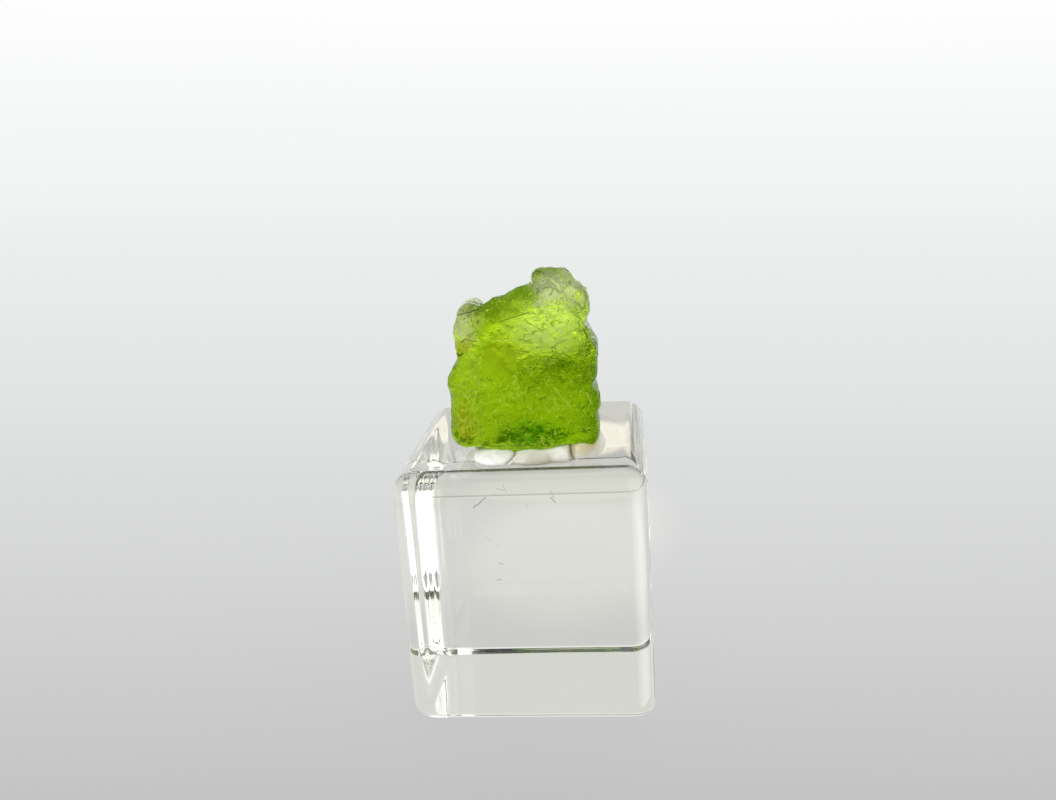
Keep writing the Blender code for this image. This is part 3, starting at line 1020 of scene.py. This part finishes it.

# %% [markdown]
# ## Putty
# Mineral putty is chalk in oil. Its skin is matt and a little waxy: light sinks in and comes out
# soft a fraction of a millimetre away, which subsurface scattering gives. Painted shade greys and
# yellows it in the middle, under the stone, and on the right lump, and darkens the crease. Its
# chalk grain is far too fine to show, so it is drawn about ten times as coarse, as a bump.

# %% Tack material
# Spots of painted shade: under the stone in the middle, on the right lump, and in the crease.
PAINTED_SHADE_SPOTS = [
    ("#B4AE98", (1.9, -9.0, 27.6), (2.6, 3.0, 1.0)),
    ("#DCD0A4", (6.6, -8.5, 29.3), (1.6, 3.0, 1.0)),
    ("#B8AE90", (5.3, -9.0, 28.9), (0.35, 2.0, 1.2)),
]
PUTTY_DULL, PUTTY_FRESH = "#F6F2E8", "#FFFFFC"
BLOTCH_SIZE = 1.1 * MM
PUTTY_GRAIN, PUTTY_GRAIN_HEIGHT = 0.25 * MM, 0.04 * MM
LIGHT_SINKS = {
    "Subsurface Weight": 0.25,
    "Subsurface Radius": (1.0, 0.85, 0.7),
    "Subsurface Scale": 0.4 * MM,
}


def tack_material():
    """White mineral putty: matt, a little waxy, with painted shade in places."""
    made, tree, surface = new_material("white mineral putty")
    place = add_node(tree, "ShaderNodeTexCoord", output="Object")
    blotch = add_node(
        tree, "ShaderNodeTexNoise", inputs={"Vector": place, "Scale": 1 / BLOTCH_SIZE, "Detail": 3.0}
    )
    colour = add_node(
        tree,
        "ShaderNodeMix",
        LAYERS,
        {"Factor": blotch, UNDER: linear(PUTTY_DULL), OVER: linear(PUTTY_FRESH)},
    )
    # The spots laid over the putty's colour are painted shade.
    feed(tree, surface, {"Base Color": tinted(tree, place, colour, PAINTED_SHADE_SPOTS), "Roughness": 0.45})
    feed(tree, surface, LIGHT_SINKS)
    grain = add_node(
        tree,
        "ShaderNodeTexNoise",
        inputs={"Vector": place, "Scale": 1 / PUTTY_GRAIN, "Detail": 4.0, "Roughness": 0.65},
    )
    bump = add_node(
        tree,
        "ShaderNodeBump",
        inputs={"Height": grain, "Distance": PUTTY_GRAIN_HEIGHT, "Strength": 0.5},
    )
    feed(tree, surface, {"Normal": bump})
    return made


putty = tack_material()
tack = grown(tack_skin, "kneaded_tack", kneading_tree(), {**KNEADING, "Finish": putty})
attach(tack, "root")
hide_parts("mineral_tack")
print("tack:", len(tack.data.polygons), "quads")

# %% [markdown]
# ## The block
# Cast acrylic, flame polished, every edge eased. The edges do most of the work in the picture,
# bending the room into bright and dark lines, so their section matters: all are round, but the
# foot's edges are of unlike radii, the front one the largest. The block is built as a stack of
# rounded rectangles, from the foot to the top. At each level every side is drawn in by what its own
# round edge asks for, and the levels lie closest together where the edges turn fastest.

# %% Block
UPRIGHT_EDGE = 2.3 * MM
TOP_EDGE, TOP_FRONT_EDGE = 2.3 * MM, 2.6 * MM
FOOT_SIDE_EDGE, FOOT_BACK_EDGE, FOOT_FRONT_EDGE = 1.8 * MM, 1.1 * MM, 3.0 * MM
SMALLEST_CORNER = 0.3 * MM
EDGE_STEPS = 22
FLAT_BORDER = 0.12 * MM


def quarter_turn():
    """Points on a quarter of a circle of radius 1, from (0, 1) to (1, 0)."""
    turns = [math.pi / 2 * i / EDGE_STEPS for i in range(EDGE_STEPS + 1)]
    return [(math.sin(turn), math.cos(turn)) for turn in turns]


def drawn_in(height, radius):
    """How far a round edge draws the wall in, this high above the flat that it meets."""
    short = max(radius - height, 0.0)
    return radius - math.sqrt(max(radius**2 - short**2, 0.0))


def rectangle_ring(shape, level, side_inset, back_inset, front_inset):
    """One closed ring of points: the block's outline with round corners, drawn in."""
    reach = max(UPRIGHT_EDGE - side_inset, SMALLEST_CORNER)
    quarter = [(along * reach, across * reach) for along, across in quarter_turn()]
    quarter = [(-FLAT_BORDER, reach)] + quarter + [(reach, -FLAT_BORDER)]
    right, left = block_high.x - side_inset - reach, block_low.x + side_inset + reach
    back, front = block_high.y - back_inset - reach, block_low.y + front_inset + reach
    ring = []
    for i, corner in enumerate(((right, back), (right, front), (left, front), (left, back))):
        turn = Matrix.Rotation(-math.pi / 2 * i, 2)
        ring += [
            shape.verts.new((*(Vector(corner) + turn @ Vector(point)), level))
            for point in quarter
        ]
    return ring


def levels_of_edge(radii):
    """Heights from a flat, close together where a round edge of any of these radii turns fast."""
    levels = {0.0, max(radii) + FLAT_BORDER}
    for radius in radii:
        levels |= {radius * (1 - up) for _, up in quarter_turn()}
    return sorted(levels)


def eased_block():
    shape = bmesh.new()
    rings = []
    foot_edges = (FOOT_SIDE_EDGE, FOOT_BACK_EDGE, FOOT_FRONT_EDGE)
    for height in levels_of_edge(foot_edges):
        insets = [drawn_in(height, radius) for radius in foot_edges]
        rings.append(rectangle_ring(shape, block_low.z + height, *insets))
    top_edges = (TOP_EDGE, TOP_EDGE, TOP_FRONT_EDGE)
    for height in reversed(levels_of_edge(top_edges)):
        insets = [drawn_in(height, radius) for radius in top_edges]
        rings.append(rectangle_ring(shape, block_high.z - height, *insets))
    for lower, upper in zip(rings, rings[1:]):
        for i in range(len(lower)):
            j = (i + 1) % len(lower)
            shape.faces.new((lower[i], lower[j], upper[j], upper[i]))
    shape.faces.new(rings[0])
    shape.faces.new(rings[-1])
    bmesh.ops.remove_doubles(shape, verts=shape.verts, dist=MERGE_DISTANCE)
    bmesh.ops.recalc_face_normals(shape, faces=shape.faces)
    mesh = as_mesh(shape, "clear_block")
    mesh.shade_smooth()
    return mesh


block_mesh = eased_block()
print("block:", len(block_mesh.polygons), "faces")

# %% [markdown]
# ## Acrylic
# Polished cast acrylic has no grain, hardly any colour and a sharp reflection, at an index of 1.49.
# Three things sit in its base colour. A thin dark loop along the border of the front top edge is
# painted shade, for the dark line that the edge bends in from the room. A warm tinge near the top
# is painted light, for the warm glow seen through the top face. Lint clings to the front, in hairs
# and faint smudges.

# %% Acrylic material
ACRYLIC_IOR = 1.49
ACRYLIC_TINT, PAINTED_WARM_TINT = "#FAFAF6", "#F6F6EA"
PAINTED_DARK_LOOP, LINT_SHADE = "#3A372E", "#4C4A42"
LOOP_MIDDLE = Vector((1.25, 0.0, 26.82)) * MM
LOOP_HALF = Vector((11.1, 100.0, 0.95)) * MM
LOOP_CORNER = 0.9 * MM
LOOP_LINE = 0.07 * MM

# Heights and depths in millimetres between which something begins, with its values, if it has any:
# where the painted warm tinge lies, how much the painted dark loop covers, where it lies, and where
# the front is.
PAINTED_WARMTH_BY_HEIGHT = (24.3, 25.3)
LOOP_BY_HEIGHT = (25.9, 26.5, 0.5, 0.97)
LOOP_BY_DEPTH = (-10.9, -11.1)
FRONT_BY_DEPTH = (-12.6, -12.9)

# Each hair or smudge is a start, an end and a width in millimetres, and how much it covers.
LINT = [
    ((-4.2, 24.74), (-2.95, 25.74), 0.07, 0.8),
    ((3.3, 26.15), (3.65, 25.45), 0.06, 0.6),
    ((3.25, 25.6), (3.8, 25.0), 0.06, 0.8),
    ((-1.9, 26.5), (-1.2, 26.3), 0.06, 0.4),
    ((-1.3, 26.8), (-0.9, 26.1), 0.05, 0.4),
    ((-2.3, 26.0), (-1.3, 25.8), 0.05, 0.3),
    ((1.0, 24.9), (1.05, 24.5), 0.05, 0.4),
    ((-2.2, 18.75), (-1.8, 18.62), 0.08, 0.5),
    ((-2.5, 16.95), (-2.1, 17.05), 0.08, 0.6),
    ((-4.0, 22.1), (-3.5, 22.35), 0.12, 0.12),
    ((-3.3, 21.6), (-2.9, 21.2), 0.14, 0.12),
    ((-2.4, 20.7), (-1.9, 20.5), 0.16, 0.1),
]
LINT_WAVER = (0.6 * MM, 0.15 * MM)


def loop_line(tree, place, depth):
    """1 on the border of the front top edge, a long loop with round ends, and 0 elsewhere."""
    away = add_node(tree, "ShaderNodeVectorMath", MINUS, {0: place, 1: LOOP_MIDDLE})
    folded = add_node(tree, "ShaderNodeVectorMath", {"operation": "ABSOLUTE"}, {0: away})
    core = LOOP_HALF - Vector((LOOP_CORNER, 0.0, LOOP_CORNER))
    past = add_node(tree, "ShaderNodeVectorMath", MINUS, {0: folded, 1: core})
    past = add_node(tree, "ShaderNodeVectorMath", LARGER, {0: past, 1: (0.0, 0.0, 0.0)})
    reach = add_node(tree, "ShaderNodeVectorMath", {"operation": "LENGTH"}, {0: past})
    off = add_node(tree, "ShaderNodeMath", MINUS, {0: reach, 1: LOOP_CORNER})
    off = add_node(tree, "ShaderNodeMath", {"operation": "ABSOLUTE"}, {0: off})
    line = add_node(
        tree,
        "ShaderNodeMapRange",
        EASED,
        {"Value": off, **between(LOOP_LINE * 1.6, LOOP_LINE * 0.4)},
    )
    on_edge = by_place(tree, depth, *LOOP_BY_DEPTH)
    return add_node(tree, "ShaderNodeMath", TIMES, {0: line, 1: on_edge})


def acrylic_material():
    """Polished cast acrylic, with the painted dark loop, the painted warm tinge and the lint in its
    base colour.
    """
    made, tree, surface = new_material("polished cast acrylic")
    place = add_node(tree, "ShaderNodeTexCoord", output="Object")
    depth = add_node(tree, "ShaderNodeSeparateXYZ", inputs={"Vector": place}, output="Y")
    height = depth.node.outputs["Z"]
    # The dark loop is painted shade, for the edge's dark line.
    line = loop_line(tree, place, depth)
    cover = by_place(tree, height, *LOOP_BY_HEIGHT)
    line = add_node(tree, "ShaderNodeMath", TIMES, {0: line, 1: cover})
    # The warm tinge near the top is painted light.
    painted_warmth = by_place(tree, height, *PAINTED_WARMTH_BY_HEIGHT)
    coats = [(painted_warmth, 1.0, PAINTED_WARM_TINT), (line, 1.0, PAINTED_DARK_LOOP)]
    colour = coated(tree, linear(ACRYLIC_TINT), coats)
    on_front = by_place(tree, depth, *FRONT_BY_DEPTH)
    lint_place = wavered(tree, place, *LINT_WAVER)
    for start, end, width, share in LINT:
        hair = scratch(tree, lint_place, start, end, width)
        hair = add_node(tree, "ShaderNodeMath", TIMES, {0: hair, 1: on_front})
        colour = coated(tree, colour, [(hair, share, LINT_SHADE)])
    polish = {"Transmission Weight": 1.0, "IOR": ACRYLIC_IOR, "Roughness": 0.0}
    feed(tree, surface, {"Base Color": colour, **polish})
    return made


block_mesh.materials.append(acrylic_material())
block = add_object("clear_block", block_mesh)
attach(block, "root")
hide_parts("display_block")
print("lint:", len(LINT), "hairs and smudges")

# %% [markdown]
# ## Which card lights what
# Now that the pieces are there, each card is told the one piece that it lights.

# %% Light linking
LIT_BY = {"side card": block, "key card": stone, "back card": stone, "tack card": tack}
for name, lit in LIT_BY.items():
    receivers = bpy.data.collections.new("lit by the " + name)
    receivers.objects.link(lit)
    cards[name].light_linking.receiver_collection = receivers
    print(name, "lights", lit.name)

# %% [markdown]
# ## Rays that go a long way
# In clear things a ray may be turned many times before it leaves. These limits let it, so that no
# dark hole shows where a short path would give up.

# %% Bounces
paths = bpy.context.scene.cycles
paths.max_bounces = 24
paths.transmission_bounces = 24
paths.glossy_bounces = 16
paths.diffuse_bounces = 4
print("a ray may turn", paths.max_bounces, "times")
